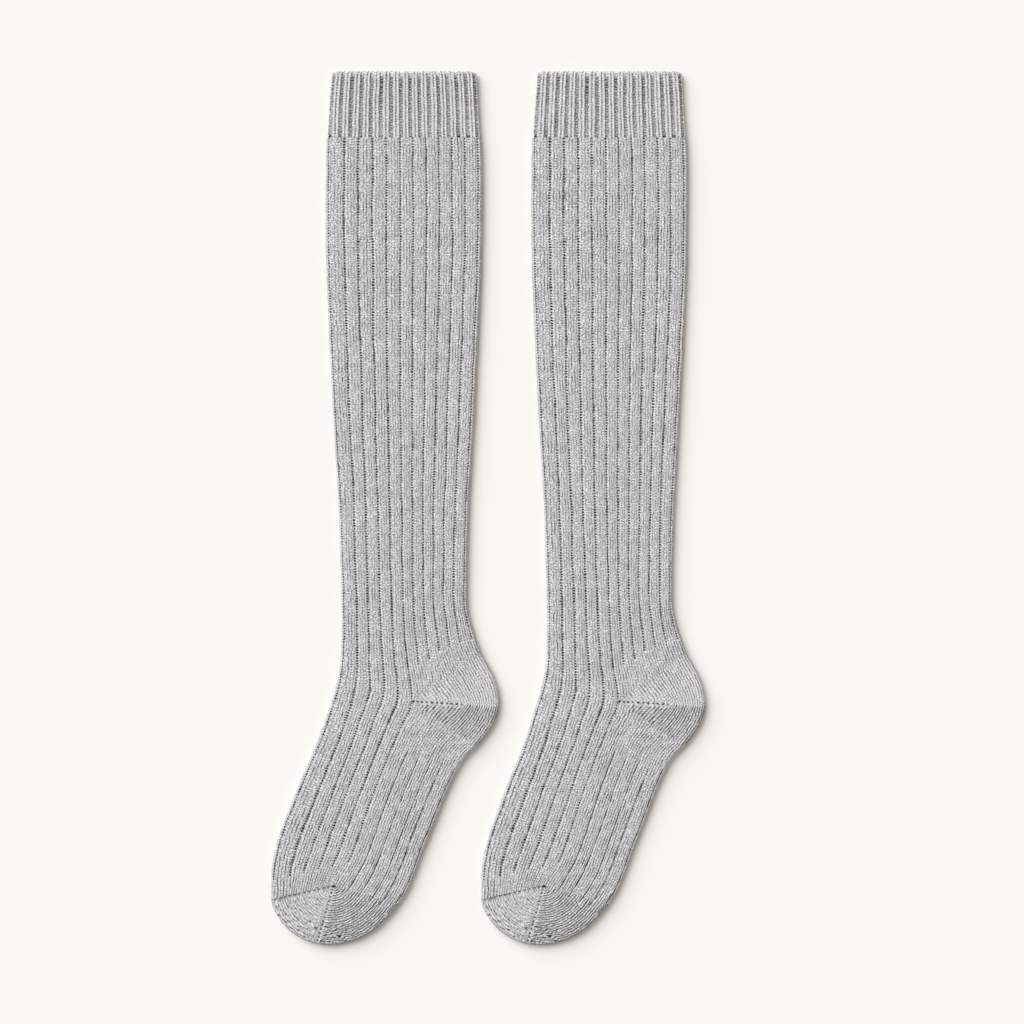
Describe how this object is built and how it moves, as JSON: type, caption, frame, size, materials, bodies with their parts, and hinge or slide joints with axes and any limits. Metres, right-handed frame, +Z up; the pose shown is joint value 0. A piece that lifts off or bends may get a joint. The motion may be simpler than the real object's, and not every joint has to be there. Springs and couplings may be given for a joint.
{
  "type": "pair of knee-high socks",
  "caption": "Pair of flat-laid ribbed knee-high socks, each with a rib cuff, shaped leg, gored heel, ribbed foot and gored toe.",
  "frame": {"origin": "middle of the pair's bounding box, on the surface that the socks lie on", "axes": "+X from the first sock to the second, +Y towards the cuffs, +Z up from the surface"},
  "size_m": [0.2957, 0.5946, 0.0052],
  "materials": {
    "cuff_rib_knit": "matt narrow rib knit in heather grey yarn",
    "leg_rib_knit": "matt wide rib knit in heather grey yarn, slightly fuzzy",
    "plain_knit": "matt plain knit in heather grey yarn, slightly fuzzy"
  },
  "bodies": {
    "root": {"sock_1_cuff": "cuff_rib_knit", "sock_1_leg": "leg_rib_knit", "sock_1_heel": "plain_knit", "sock_1_foot": "leg_rib_knit", "sock_1_toe": "plain_knit", "sock_2_cuff": "cuff_rib_knit", "sock_2_leg": "leg_rib_knit", "sock_2_heel": "plain_knit", "sock_2_foot": "leg_rib_knit", "sock_2_toe": "plain_knit"}
  },
  "joints": []
}
